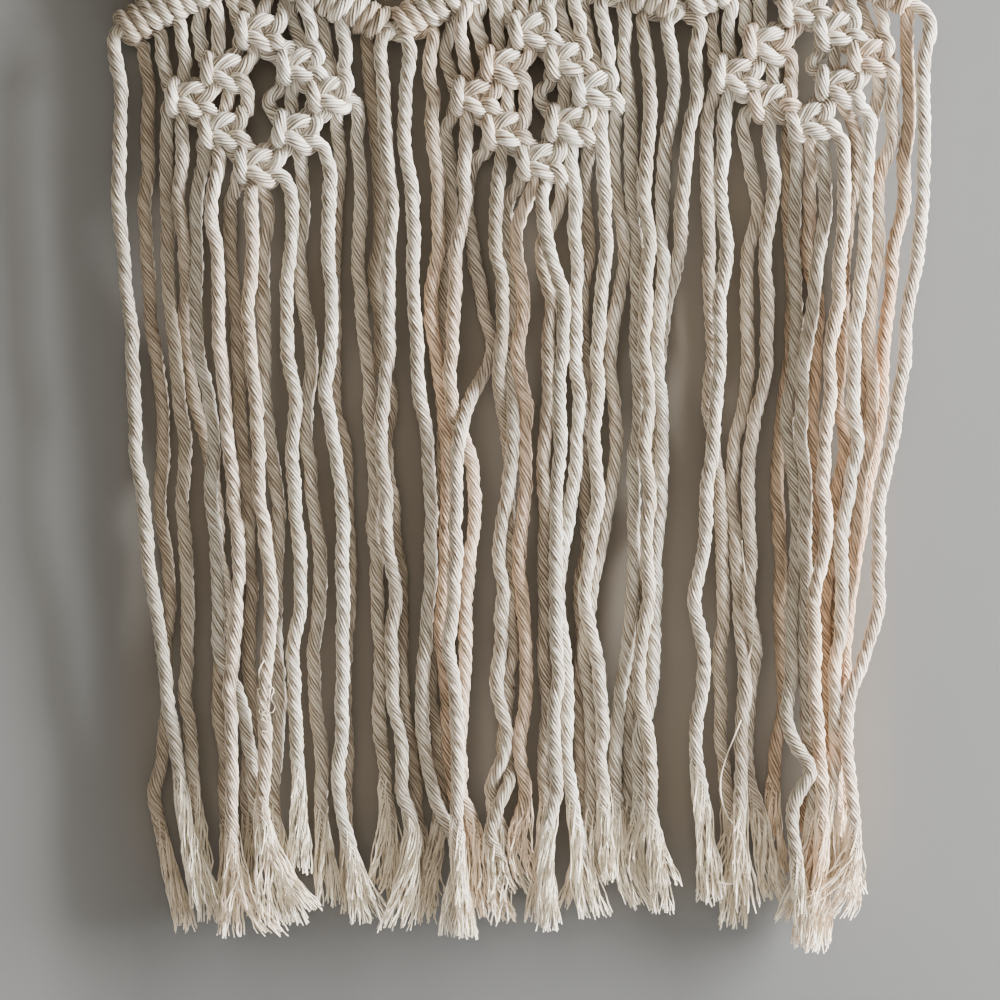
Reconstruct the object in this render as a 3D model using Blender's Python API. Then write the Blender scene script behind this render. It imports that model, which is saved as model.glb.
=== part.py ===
"""Macrame wall hanging: 49 cotton cords, knotted and left to hang as a fringe.

The cords start in a straight hitched heading, cross a zigzag of six hitched bars and are tied
into three diamonds of eight square knots. Below the diamonds they hang free, in four layers,
and end in frayed locks. Everything is one body, because knots and bars hold the cords together.

Frame: metres, +Z up, +X to the right as seen from the front, the wall on the +Y side. The origin
is the middle of the top edge. All tables are in millimetres.
"""
import math

import bmesh
import bpy
from mathutils import Vector

MM = 0.001

# Driving sizes, mm
CORD = 4.0                  # diameter of the twisted cotton cord
STRAND_SIDE = 3.4           # side of the square section that stands for one cord
LAYER_PITCH = 3.8           # from one layer of hanging cords to the next
STRAND_GAP = 0.3            # least gap between neighbours in one layer
LOCK_WIDTH = 5.0            # width of a frayed end at its middle
LOCK_TIP_WIDTH = 3.8
LOCK_TIP_DEPTH = 2.2
HEADING_Z = -6.0            # middle of the heading, below the top edge
HEADING_LEFT = -110.5       # first and last cord in the heading
HEADING_RIGHT = 112.5
HEADING_RADIUS = 6.0
BAR_RADIUS = 5.2            # outside of the hitches on a zigzag bar
HITCH_GROOVE = 0.8          # radius between two hitches, as a share of the outside
RIDGE_SIDES = 5             # sides of a bar's section

# The free cords are placed at seven heights, then at the middle and the end of the frayed lock.
FIRST_LEVEL_Z = -89.0
LEVEL_STEP = 27.6
LEVEL_COUNT = 6
LOCK_TOP_Z = -251.7

# The six zigzag bars, from the peak to the low end.
# Columns: repeat, peak x, peak z, low x, low z, leader cord, first and last hitched cord.
BARS = (
    ("c", -74.0, -24.0, -112.5, -43.2, 0, 1, 7),
    ("c", -74.0, -24.0, -36.4, -42.4, 15, 8, 14),
    ("d", 3.9, -20.8, -36.4, -42.4, 0, 1, 7),
    ("d", 3.9, -20.8, 43.9, -36.2, 16, 8, 15),
    ("e", 77.8, -19.9, 43.9, -36.2, 0, 1, 7),
    ("e", 77.8, -19.9, 109.0, -35.1, 15, 8, 14),
)
BAR_PARTING = 3.3           # from a peak or a low point to the end of each bar that meets there
LEG_PARTING = 3.9           # from a low point to the leader that hangs from it

# The square knots, row by row down each diamond. Cord e6 hangs behind its diamond, in no knot.
# Columns: repeat, left tying cord, left core, right core, right tying cord, x, z of the middle.
KNOTS = (
    ("c", 6, 7, 8, 9, -72.0, -41.4),
    ("c", 4, 5, 6, 7, -83.1, -53.3),
    ("c", 8, 9, 10, 11, -62.4, -50.5),
    ("c", 2, 3, 4, 5, -93.0, -60.7),
    ("c", 10, 11, 12, 13, -54.4, -59.1),
    ("c", 4, 5, 6, 7, -83.9, -70.1),
    ("c", 8, 9, 10, 11, -63.5, -69.6),
    ("c", 6, 7, 8, 9, -74.5, -79.2),
    ("d", 6, 7, 8, 9, 0.3, -41.7),
    ("d", 4, 5, 6, 7, -6.1, -51.6),
    ("d", 8, 9, 10, 11, 11.3, -50.0),
    ("d", 2, 3, 4, 5, -14.6, -60.7),
    ("d", 10, 11, 12, 13, 19.3, -58.0),
    ("d", 4, 5, 6, 7, -5.5, -70.1),
    ("d", 8, 9, 10, 11, 11.9, -67.9),
    ("d", 6, 7, 8, 9, 3.9, -78.9),
    ("e", 5, 7, 8, 9, 76.7, -37.8),
    ("e", 3, 4, 5, 7, 66.8, -45.8),
    ("e", 8, 9, 10, 11, 86.4, -43.6),
    ("e", 1, 2, 3, 4, 58.2, -54.6),
    ("e", 10, 11, 12, 13, 95.2, -49.1),
    ("e", 3, 4, 5, 7, 68.7, -63.2),
    ("e", 8, 9, 10, 11, 86.7, -57.4),
    ("e", 5, 7, 8, 9, 80.0, -67.3),
)

# Where a knot's four cords go in at its top and come out at its foot, from the knot's middle,
# in cord diameters. Columns: left tying cord, left core, right core, right tying cord.
KNOT_TOP = (-1.35, -0.5, 0.5, 1.35)
KNOT_FOOT = (-1.3, -0.5, 0.5, 1.4)
KNOT_PASS = 0.95            # height of those two places above and below the middle
KNOT_HALF_HEIGHT = 1.2

# Relief of a knot's front, in cord diameters from the middle plane, at these places across it.
# Columns of a row: height, then the depth at the left rim, on the upright loop, left and right
# on the two crossing turns, and at the right rim.
KNOT_COLUMNS = (-2.0, -1.4, -0.5, 0.9, 2.0)
KNOT_RELIEF = (
    (1.2, 0.5, 1.0, 0.75, 0.9, 0.5),
    (0.8, 0.6, 1.45, 0.95, 1.3, 0.8),
    (0.4, 0.6, 1.6, 1.3, 1.15, 0.6),
    (0.0, 0.6, 1.6, 0.9, 0.75, 0.6),
    (-0.5, 0.6, 1.45, 1.4, 1.15, 0.7),
    (-0.9, 0.5, 1.0, 0.8, 1.35, 0.9),
    (-1.2, 0.5, 0.75, 0.6, 0.8, 0.5),
)
KNOT_BACK_DEPTH = 0.9
KNOT_BACK_X = 1.85

# The free cords, left to right in each repeat.
# Columns: cord, x at the seven heights, x and z of the lock's end, layer (0 is the front one).
CORDS = (
    ("c0", -112, -109, -107, -104.5, -102, -98.5, -95, -86, -285, 1),
    ("c1", -104.5, -103, -99.5, -100, -97, -98.5, -100, -93, -293, 3),
    ("c2", -98.5, -97, -95, -94, -92, -92.5, -91, -87.5, -286, 2),
    ("c3", -95, -92.5, -91, -84.5, -81.5, -83.5, -82, -83, -289, 3),
    ("c4", -90.5, -90, -86.5, -86.5, -84, -78, -74, -62.5, -289, 1),
    ("c5", -86, -84, -83, -80, -79, -81, -80.5, -76.5, -292.5, 0),
    ("c6", -80.5, -79.5, -78, -76, -75.5, -74.5, -77, -75.5, -286, 3),
    ("c7", -75, -75, -74, -73, -69.5, -71.5, -72, -68, -292.5, 0),
    ("c8", -71, -71.5, -71, -68, -68, -68, -69, -66, -276.5, 2),
    ("c9", -64, -65, -63, -63, -61, -62.5, -62, -61, -276, 1),
    ("c10", -60.5, -60.5, -59.5, -57.5, -56.5, -57.5, -55.5, -53.5, -283.5, 2),
    ("c11", -53.5, -53, -55, -50, -49.5, -50, -50.5, -43.5, -289, 1),
    ("c12", -51.5, -52, -52.5, -49, -47.5, -48.5, -49, -47, -286, 3),
    ("c13", -44.5, -44.5, -42, -40.5, -40.5, -40, -37.5, -36.5, -286, 2),
    ("c14", -39.5, -40.5, -37.5, -36, -33.5, -33, -30, -27, -290.5, 3),
    ("c15", -36, -37, -39, -38, -36, -35.5, -33, -38, -292.5, 1),
    ("d0", -30.5, -30.5, -28, -25.5, -26, -27.5, -25, -17.5, -293, 1),
    ("d1", -23, -25, -22.5, -21.5, -22.5, -21, -19.5, -12.5, -290.5, 2),
    ("d2", -20, -22, -21.5, -23, -24, -24.5, -22.5, -21, -291, 3),
    ("d3", -15.5, -19, -19.5, -12.5, -15.5, -17, -17, -9, -289, 1),
    ("d4", -15.5, -11.5, -15.5, -19, -19.5, -19, -18.5, -15, -292.5, 0),
    ("d5", -7, -6, -6, -4, -3.5, -4, -4.5, -3, -280.5, 2),
    ("d6", -4, -2.5, -2, -4.5, -6.5, -7.5, -8.5, -4, -289, 1),
    ("d7", 1, 0.5, 0.5, -0.5, -0.5, 0.5, -0.5, 0.5, -282, 1),
    ("d8", 5, 11, 9.5, 9.5, 9, 9, 9.5, 6.5, -292, 0),
    ("d9", 10.5, 7, 6.5, 6, 6, 6.5, 6, 5.5, -289, 1),
    ("d10", 14.5, 14.5, 15.5, 13, 10, 12.5, 13, 21.5, -286, 1),
    ("d11", 17, 17, 17, 17, 16.5, 15.5, 16.5, 14.5, -289, 3),
    ("d12", 22.5, 21.5, 20.5, 20.5, 16.5, 22, 22.5, 26.5, -278, 1),
    ("d13", 26, 25.5, 24.5, 23.5, 19, 18.5, 19.5, 22.5, -279, 2),
    ("d14", 30.5, 31.5, 32, 30.5, 30, 27, 25.5, 31, -285.5, 2),
    ("d15", 33.5, 33, 35, 34, 35, 32.5, 35.5, 41, -283.5, 1),
    ("d16", 38, 37.5, 38.5, 38, 37.5, 35, 31.5, 36.5, -275, 2),
    ("e0", 44, 40, 36.5, 35.5, 33.5, 29.5, 28.5, 30, -284.5, 3),
    ("e1", 51, 51.5, 52, 54.5, 56, 54.5, 56, 58, -292.5, 2),
    ("e2", 54.5, 54.5, 53, 51, 47, 48.5, 49, 53, -286, 1),
    ("e3", 64.5, 61.5, 60.5, 57.5, 59.5, 61.5, 60, 60.5, -289, 1),
    ("e4", 68.5, 67, 65.5, 62, 62.5, 62, 63, 67.5, -283.5, 2),
    ("e5", 75, 75, 74, 75, 74, 75, 75.5, 73.5, -289, 2),
    ("e6", 72.5, 73.5, 73, 70.5, 71, 72, 68, 70.5, -282, 3),
    ("e7", 79, 80.5, 80, 80, 80, 79, 78, 78.5, -296, 3),
    ("e8", 83, 80.5, 78, 77.5, 77.5, 78, 80, 78, -297.5, 1),
    ("e9", 88.5, 87, 84.5, 84, 80.5, 81, 81.5, 82, -296, 0),
    ("e10", 89, 88, 87, 86.5, 83.5, 83.5, 83, 85, -290.5, 2),
    ("e11", 94.5, 92, 91.5, 89, 88, 86.5, 85, 86.5, -283.5, 1),
    ("e12", 96, 94, 94, 91, 86.5, 85, 84.5, 85, -282, 3),
    ("e13", 97.5, 96.5, 96, 92.5, 89.5, 87.5, 86.5, 92.5, -283.5, 2),
    ("e14", 105, 101, 98.5, 94, 90.5, 88, 88, 91, -282, 3),
    ("e15", 110, 106.5, 102.5, 99, 98, 89.5, 90.5, 93.5, -291.5, 1),
)

COTTON = (0.80, 0.75, 0.67, 1.0)
COTTON_ROUGHNESS = 0.9


def clear_scene():
    """Remove whatever the file opened with."""
    for old in list(bpy.data.objects):
        bpy.data.objects.remove(old, do_unlink=True)


def cotton_material():
    """Undyed cotton, matt and slightly warm."""
    material = bpy.data.materials.new("cotton_cord")
    material.use_nodes = True
    shader = material.node_tree.nodes["Principled BSDF"]
    shader.inputs["Base Color"].default_value = COTTON
    shader.inputs["Roughness"].default_value = COTTON_ROUGHNESS
    shader.inputs["Metallic"].default_value = 0.0
    return material


def space_out(values, gap):
    """Move neighbours apart until each pair is at least gap apart, each giving way by half."""
    spaced = list(values)
    for _ in range(200):
        for left in range(len(spaced) - 1):
            short = gap - (spaced[left + 1] - spaced[left])
            if short > 0.0:
                spaced[left] -= short / 2
                spaced[left + 1] += short / 2
    return spaced


def level_heights():
    """The seven heights at which the table places a free cord."""
    heights = [FIRST_LEVEL_Z - LEVEL_STEP * step for step in range(LEVEL_COUNT)]
    return heights + [LOCK_TOP_Z]


def spaced_cords():
    """The table's x places, with neighbours in one layer set clear of each other."""
    places = {row[0]: list(row[1:9]) for row in CORDS}
    for layer in sorted({row[10] for row in CORDS}):
        names = [row[0] for row in CORDS if row[10] == layer]
        for column in range(8):
            width = STRAND_SIDE if column < 7 else LOCK_WIDTH
            column_values = [places[name][column] for name in names]
            for name, value in zip(names, space_out(column_values, width + STRAND_GAP)):
                places[name][column] = value
    return places


def layer_y(layer):
    """Middle of a layer of hanging cords, the front one at the least y."""
    return (layer - 1.5) * LAYER_PITCH


def heading_places():
    """x of each cord in the heading: a leader starts at its peak, between its hitched cords."""
    order = []
    for repeat, last in (("c", 15), ("d", 16), ("e", 15)):
        left = [repeat + str(number) for number in range(1, 8)]
        right = [repeat + str(number) for number in range(8, last)]
        order += left + [repeat + "0", repeat + str(last)] + right
    step = (HEADING_RIGHT - HEADING_LEFT) / (len(order) - 1)
    return {name: HEADING_LEFT + step * index for index, name in enumerate(order)}


def bar_ends(bar):
    """Both ends of a bar's middle line, clear of the bar that meets it."""
    _, peak_x, peak_z, low_x, low_z, _, _, _ = bar
    side = 1.0 if low_x > peak_x else -1.0
    top = Vector((peak_x + side * BAR_PARTING, 0.0, peak_z))
    foot = Vector((low_x - side * BAR_PARTING, 0.0, low_z))
    return top, foot


def bar_places():
    """The points at which each cord meets its zigzag bar."""
    places = {}
    for bar in BARS:
        repeat, _, _, low_x, low_z, leader, first, last = bar
        top, foot = bar_ends(bar)
        side = 1.0 if foot.x > top.x else -1.0
        numbers = range(first, last + 1)
        count = len(numbers)
        for number in numbers:
            steps_from_peak = number - first if side > 0 else last - number
            share = (steps_from_peak + 0.5) / count
            places[repeat + str(number)] = [top.lerp(foot, share)]
        leg = Vector((low_x - side * LEG_PARTING, 0.0, low_z - BAR_RADIUS))
        places[repeat + str(leader)] = [top, leg]
    return places


def knot_places():
    """The points at which each cord enters and leaves its square knots, from the top down."""
    places = {}
    for repeat, *cords, x, z in KNOTS:
        for role, number in enumerate(cords):
            name = repeat + str(number)
            enter = Vector((x + KNOT_TOP[role] * CORD, 0.0, z + KNOT_PASS * CORD))
            leave = Vector((x + KNOT_FOOT[role] * CORD, 0.0, z - KNOT_PASS * CORD))
            places.setdefault(name, []).append((enter, leave))
    return places


def strand_sections(row, spaced, heading, bars, knots):
    """Centre, width and depth of each section of one cord, from the heading to the frayed end."""
    name, layer, lock_end_z = row[0], row[10], row[9]
    side = STRAND_SIDE
    sections = [(Vector((heading[name], 0.0, HEADING_Z)), side, side)]
    sections += [(point, side, side) for point in bars[name]]
    for enter, leave in knots.get(name, []):
        sections.append((enter, side, side))
        sections.append((leave, side, side))
    xs = spaced[name]
    y = layer_y(layer)
    for x, z in zip(xs, level_heights()):
        sections.append((Vector((x, y, z)), side, side))
    middle = Vector(((xs[6] + xs[7]) / 2, y, (LOCK_TOP_Z + lock_end_z) / 2))
    sections.append((middle, LOCK_WIDTH, side))
    sections.append((Vector((xs[7], y, lock_end_z)), LOCK_TIP_WIDTH, LOCK_TIP_DEPTH))
    return sections


def add_strand(mesh, sections):
    """A closed four-sided strand through level sections."""
    rings = []
    for centre, width, depth in sections:
        corners = ((-1, -1), (1, -1), (1, 1), (-1, 1))
        ring = [centre + Vector((across * width / 2, back * depth / 2, 0.0))
                for across, back in corners]
        rings.append([mesh.verts.new(point * MM) for point in ring])
    close_tube(mesh, rings)


def close_tube(mesh, rings):
    """Skin rings of equal count, listed anticlockwise as seen from the first end."""
    count = len(rings[0])
    for upper, lower in zip(rings, rings[1:]):
        for corner in range(count):
            following = (corner + 1) % count
            mesh.faces.new((upper[corner], upper[following], lower[following], lower[corner])[::-1])
    mesh.faces.new(rings[0])
    mesh.faces.new(rings[-1][::-1])


def add_ridged_bar(mesh, start, end, hitches, radius):
    """A cord covered in hitches: a tube whose radius rises and falls once for each hitch."""
    axis = (end - start).normalized()
    across = axis.cross(Vector((0.0, 1.0, 0.0))).normalized()
    rings = []
    for ring_index in range(2 * hitches + 1):
        share = ring_index / (2 * hitches)
        size = radius if ring_index % 2 else radius * HITCH_GROOVE
        ring = []
        for corner in range(RIDGE_SIDES):
            angle = 2 * math.pi * (corner + 0.5) / RIDGE_SIDES
            offset = across * math.sin(angle) - Vector((0.0, 1.0, 0.0)) * math.cos(angle)
            ring.append(mesh.verts.new((start.lerp(end, share) + offset * size) * MM))
        rings.append(ring)
    close_tube(mesh, rings)


def add_square_knot(mesh, x, z):
    """A square knot: a front relief of its turns on a block with level ends and a flat back."""
    def vertex(across, depth, height):
        point = Vector((x + across * CORD, -depth * CORD, z + height * CORD))
        return mesh.verts.new(point * MM)

    rows = []
    for height, *depths in KNOT_RELIEF:
        rows.append([vertex(across, depth, height) for across, depth in zip(KNOT_COLUMNS, depths)])
    for upper, lower in zip(rows, rows[1:]):
        for column in range(len(upper) - 1):
            mesh.faces.new((upper[column], lower[column], lower[column + 1], upper[column + 1]))
    back = {(side, end): vertex(side * KNOT_BACK_X, -KNOT_BACK_DEPTH, end * KNOT_HALF_HEIGHT)
            for side in (-1, 1) for end in (-1, 1)}
    mesh.faces.new(rows[0] + [back[1, 1], back[-1, 1]])
    mesh.faces.new(rows[-1] + [back[1, -1], back[-1, -1]])
    mesh.faces.new((back[-1, 1], back[1, 1], back[1, -1], back[-1, -1]))
    for side, column in ((-1, 0), (1, -1)):
        close_knot_side(mesh, [row[column] for row in rows], back[side, 1], back[side, -1])


def close_knot_side(mesh, rim, upper_back, lower_back):
    """Join one rim of the relief, listed from the top down, to the two back corners beside it."""
    middle = len(rim) // 2
    for above, below in zip(rim[:middle], rim[1:middle + 1]):
        mesh.faces.new((above, below, upper_back))
    mesh.faces.new((rim[middle], lower_back, upper_back))
    for above, below in zip(rim[middle:], rim[middle + 1:]):
        mesh.faces.new((above, below, lower_back))


def new_object(name, mesh, material):
    """An object made from a bmesh of closed shells, faces pointing out."""
    bmesh.ops.recalc_face_normals(mesh, faces=mesh.faces)
    data = bpy.data.meshes.new(name)
    mesh.to_mesh(data)
    mesh.free()
    data.materials.append(material)
    thing = bpy.data.objects.new(name, data)
    bpy.context.scene.collection.objects.link(thing)
    return thing


def build_strands(material):
    """All the cords, as one object of separate closed strands."""
    mesh = bmesh.new()
    spaced = spaced_cords()
    heading = heading_places()
    bars = bar_places()
    knots = knot_places()
    for row in CORDS:
        add_strand(mesh, strand_sections(row, spaced, heading, bars, knots))
    return new_object("strands", mesh, material)


def build_knotwork(material):
    """The heading, the zigzag bars and the square knots, as one object of closed lumps."""
    mesh = bmesh.new()
    overhang = Vector((CORD, 0.0, 0.0))
    left = Vector((HEADING_LEFT, 0.0, HEADING_Z)) - overhang / 2
    right = Vector((HEADING_RIGHT, 0.0, HEADING_Z)) + overhang / 2
    add_ridged_bar(mesh, left, right, len(CORDS), HEADING_RADIUS)
    for bar in BARS:
        top, foot = bar_ends(bar)
        hitched_cords = bar[7] - bar[6] + 1
        add_ridged_bar(mesh, top, foot, hitched_cords, BAR_RADIUS)
    for *_, x, z in KNOTS:
        add_square_knot(mesh, x, z)
    return new_object("macrame", mesh, material)


def join_strands(knotwork, strands):
    """Fuse the strands into the knots and bars they run through."""
    union = knotwork.modifiers.new("join_strands", "BOOLEAN")
    union.operation = "UNION"
    union.solver = "EXACT"
    union.use_self = True
    union.object = strands
    strands.hide_render = True
    strands.display_type = "WIRE"


def main():
    clear_scene()
    material = cotton_material()
    strands = build_strands(material)
    knotwork = build_knotwork(material)
    join_strands(knotwork, strands)


main()
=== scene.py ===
"""Looks of the macrame wall hanging: 49 twisted cotton cords, knotted, hanging and frayed.

Every cord is one piece. Its middle line runs from the heading, round its zigzag bar, through its
square knots and down the fringe to its frayed end. A three-lobed twisted section follows that line,
and the frayed end is made of thin yarns. Lengths are in millimetres until a mesh is made, apart
from those of the stage. Places across and down the front are given in steps of 0.276 mm, as read
off the cords.
"""
import itertools
import math

import bpy
import numpy as np
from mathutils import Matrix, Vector


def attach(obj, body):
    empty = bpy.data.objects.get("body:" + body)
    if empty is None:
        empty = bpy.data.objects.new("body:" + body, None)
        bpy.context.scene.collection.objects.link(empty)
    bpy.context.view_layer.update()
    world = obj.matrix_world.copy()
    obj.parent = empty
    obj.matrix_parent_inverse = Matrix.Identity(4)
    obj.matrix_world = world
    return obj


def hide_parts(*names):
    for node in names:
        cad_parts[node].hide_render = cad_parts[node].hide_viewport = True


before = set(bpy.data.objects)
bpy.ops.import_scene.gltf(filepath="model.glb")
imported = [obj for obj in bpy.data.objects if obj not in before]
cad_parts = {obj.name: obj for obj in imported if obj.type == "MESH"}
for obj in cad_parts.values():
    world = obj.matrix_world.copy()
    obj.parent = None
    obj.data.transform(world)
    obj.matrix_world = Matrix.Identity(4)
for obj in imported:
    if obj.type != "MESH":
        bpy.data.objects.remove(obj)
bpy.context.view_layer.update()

MM = 0.001
STEP = 0.276                # mm in one step
MIDDLE_STEP = 523.0         # step column of the hanging's middle
TOP_STEP = -122.0           # step row of its top edge
VIEW_STEPS = 1000           # width and height of the camera's view
CAMERA_DISTANCE = 1000.0
LAYER_PITCH = 3.8           # from one layer of cords to the next
MIDDLE_LAYER = 1.5
SAME_PLACE = 0.05           # points nearer than this are one
SWAY_SEED = 500
YARN_SEED = 1000

# The twisted cord
CORD = 3.7
PLY_RADIUS = 1.33
PLY_OFFSET = 0.5            # from the cord's middle line to that of a ply
LAY = 12.5                  # length in which the three plies turn once
RIDGES = 11                 # yarns that stand out round a cord
RIDGE_HEIGHTS = (-0.05, 0.37)
RIDGE_PITCH = 8.0           # from one change of height to the next
CREASE_HEIGHT = -0.2
YARN_DRIFT = 0.15           # how far the yarns turn back against the plies, radians to a mm
KNOT_RINGS = 1.0            # from one section to the next in knots and bars
HANGING_RINGS = 1.5         # the same in the fringe
KNOTS_FOOT = -84.0          # height of the lowest knots
SWAYS = ((0, 0.5), (1, 0.7))  # axis and size of the kinks
SWAY_PITCHES = ((13.0, 0.75), (6.5, 0.45))  # from one kink to the next, and share of the size

# Frayed ends
YARN_SHARE = 2.0            # yarns modelled for each one counted in a tuft
YARN_SIDES = 3
YARN_RADII = (0.16, 0.25)
LOOSE_RADIUS = 0.2
FRAY_HEART = 11.0           # how far the cord itself runs into its tuft

# How cords are moved apart. Freedoms are across, in depth and down.
CLEARANCE = 3.35            # least distance between the middle lines of two cords
KNOT_CLEARANCE = 2.95       # the same where cords are pressed together in knots and bars
HANGING_FREEDOM = (0.3, 1.0, 0.0)
KNOT_FREEDOM = (0.4, 1.0, 0.4)
CLEARING_ROUNDS = 24
ROUNDS_PER_SEARCH = 4
SEARCH_MARGIN = 1.2
OWN_REACH = 7               # a cord's own points this near along it aren't pushed apart
PUSH = 1.4
KNOT_GIVE = 0.93            # share of its move that a knotted cord keeps each round
HANGING_GIVE = 0.07         # what a hanging one keeps on top of that

# Heading
HEADING_Z = -6.0
HEADING_LEFT = -110.5
HEADING_RIGHT = 112.5
HEADING_WRAP = 4.0          # from the middle of the holding cord to that of a cord round it
HEADING_LEAVING = ((1.9, -4.6), (1.0, -7.5))  # y and z below the turn
BIGHT = ((1.0, -4.7, -3.6), (0.6, -4.8, -3.3), (0.15, -4.6, -2.2))  # share of half a pitch, y, z
BIGHT_GAP = 0.05

# The low points and peaks of the zigzag, from left to right: x, z. A bar lies between each two.
ZIGZAG = ((-112.5, -42.6), (-74.0, -24.0), (-36.4, -41.6), (3.9, -20.8), (43.9, -35.8), (77.8, -19.9),
          (109.0, -35.1))
# Columns: repeat, leader, first and last cord hitched to it from its low end, and how many of these
# take two turns. The others take one.
BARS = (
    ("c", 0, 1, 7, 3),
    ("c", 15, 14, 8, 2),
    ("d", 0, 1, 7, 2),
    ("d", 16, 15, 8, 1),
    ("e", 0, 1, 7, 1),
    ("e", 15, 14, 8, 1),
)
BAR_WRAP = 3.45             # from the leader's middle to that of a cord hitched round it
BAR_ANGLES = (300.0, -131.0)  # where a cord comes to its bar and leaves it after one turn
BAR_STEP = -30.0
VISIBLE_PITCH = 3.5         # from one turn to the next on cords that take two turns
BAR_FOOT = 2.2              # from a low point to the first turn
BAR_HEAD = 3.0              # from the last turn to the peak

# Columns: repeat, left tying cord, x and z of the middle, lean in degrees, and how far to the right
# the right tying cord comes in, in cord diameters. The cores and that cord are the next three.
KNOTS = (
    ("c", 6, -73.7, -42.3, 0, 2.0),
    ("c", 4, -83.1, -53.3, 0, 2.4),
    ("c", 8, -62.2, -51.9, 6, 1.05),
    ("c", 2, -92.9, -60.6, -3, 2.0),
    ("c", 10, -54.1, -59.7, 8, 1.34),
    ("c", 4, -83.8, -69.5, 6, 1.75),
    ("c", 8, -63.3, -69.7, -6, 1.4),
    ("c", 6, -74.0, -79.4, 0, 2.1),
    ("d", 6, 1.9, -42.1, 6, 1.15),
    ("d", 4, -5.9, -51.8, -4, 2.2),
    ("d", 8, 11.8, -50.4, 7, 1.05),
    ("d", 2, -14.1, -60.4, -3, 1.9),
    ("d", 10, 19.3, -58.1, 5, 1.1),
    ("d", 4, -5.5, -69.4, 5, 1.6),
    ("d", 8, 11.9, -67.9, -2, 1.7),
    ("d", 6, 4.0, -78.1, 3, 1.7),
    ("e", 5, 76.4, -35.7, 8, 1.5),
    ("e", 3, 66.6, -45.8, -1, 2.3),
    ("e", 8, 86.1, -42.1, 11, 1.24),
    ("e", 1, 58.1, -54.3, -4, 1.9),
    ("e", 10, 95.3, -49.2, 5, 1.08),
    ("e", 3, 68.2, -62.0, 11, 1.5),
    ("e", 8, 86.6, -57.3, -3, 1.7),
    ("e", 5, 78.8, -67.0, 14, 1.5),
)

# The way of each cord through a square knot, in cord diameters: x, z, depth towards the front. The
# right tying cord's way starts with three points that come from its entry. All depths are flattened.
KNOT_DEPTH = 0.94
UNKNOTTED = "e6"            # a cord that knots pass over
LEFT_TYING = (
    (-1.05, 1.0, -0.15), (-0.9, 0.5, 0.1), (-0.6, 0.42, 0.62), (-0.15, 0.62, 1.1),
    (0.35, 0.8, 1.2), (0.85, 0.76, 0.95), (1.2, 0.45, 0.35), (1.26, 0.0, -0.3), (1.24, -0.4, -0.5),
    (1.2, -0.8, -0.3), (1.12, -1.14, 0.25), (0.8, -1.1, 0.85), (0.38, -0.84, 1.15), (-0.08, -0.56, 1.15),
    (-0.5, -0.38, 0.75), (-0.78, -0.55, 0.2), (-0.98, -0.95, -0.15), (-1.12, -1.5, -0.1),
)
RIGHT_TYING = (
    (1.12, -0.16, 0.25), (0.68, -0.08, -0.42), (0.28, 0.12, -0.95), (-0.3, 0.4, -1.05), (-0.8, 0.7, -0.75),
    (-1.0, 0.92, -0.15), (-0.92, 0.98, 0.5), (-1.0, 0.74, 0.98), (-1.06, 0.34, 1.2), (-1.04, -0.05, 1.25),
    (-0.96, -0.42, 1.12), (-0.84, -0.74, 0.7), (-0.74, -0.84, 0.05), (-0.45, -0.8, -0.6),
    (-0.1, -0.62, -1.0), (0.45, -0.4, -0.95), (0.8, -0.32, -0.45), (1.05, -0.3, 0.2),
    (1.34, -0.46, 0.7), (1.56, -0.85, 0.75), (1.62, -1.35, 0.4),
)
CORES = (
    ((-0.45, 1.15, 0.05), (-0.44, 0.6, 0.0), (-0.42, 0.0, 0.0), (-0.38, -0.6, 0.0), (-0.28, -1.35, 0.2)),
    ((0.45, 1.15, 0.05), (0.44, 0.6, 0.0), (0.42, 0.0, 0.0), (0.46, -0.6, 0.0), (0.6, -1.35, 0.1)),
)

# Slack between two knots. Columns: cord, number of the knot above, then steps across, down, layer.
SLACK = (
    ("c7", 2, ((244.5, 88, 1.2), (247, 103, 1.3), (246, 117, 1.3))),
    ("c8", 2, ((271, 96, 1.6), (270, 106, 1.8))),
    ("c9", 2, ((290, 88, 1.5), (291, 103, 1.7))),
    ("d7", 2, ((523.5, 82, 1.2), (525, 98, 1.3), (524, 113, 1.3))),
    ("d8", 2, ((542, 90, 1.6), (541.5, 101, 1.8))),
    ("d9", 2, ((562.5, 80, 1.5), (564, 97, 1.7))),
    ("e7", 2, ((789.5, 55, 1.2), (791, 72, 1.3), (790, 88, 1.3))),
    ("e8", 2, ((814, 60, 1.6), (813, 69, 1.8))),
    ("e9", 2, ((832.5, 50, 1.5), (832.5, 63, 1.7))),
)

# The free cords are placed at these rows of steps.
ROWS = (200, 250, 300, 350, 400, 450, 500, 550, 600, 650, 700, 750, 790)

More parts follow.
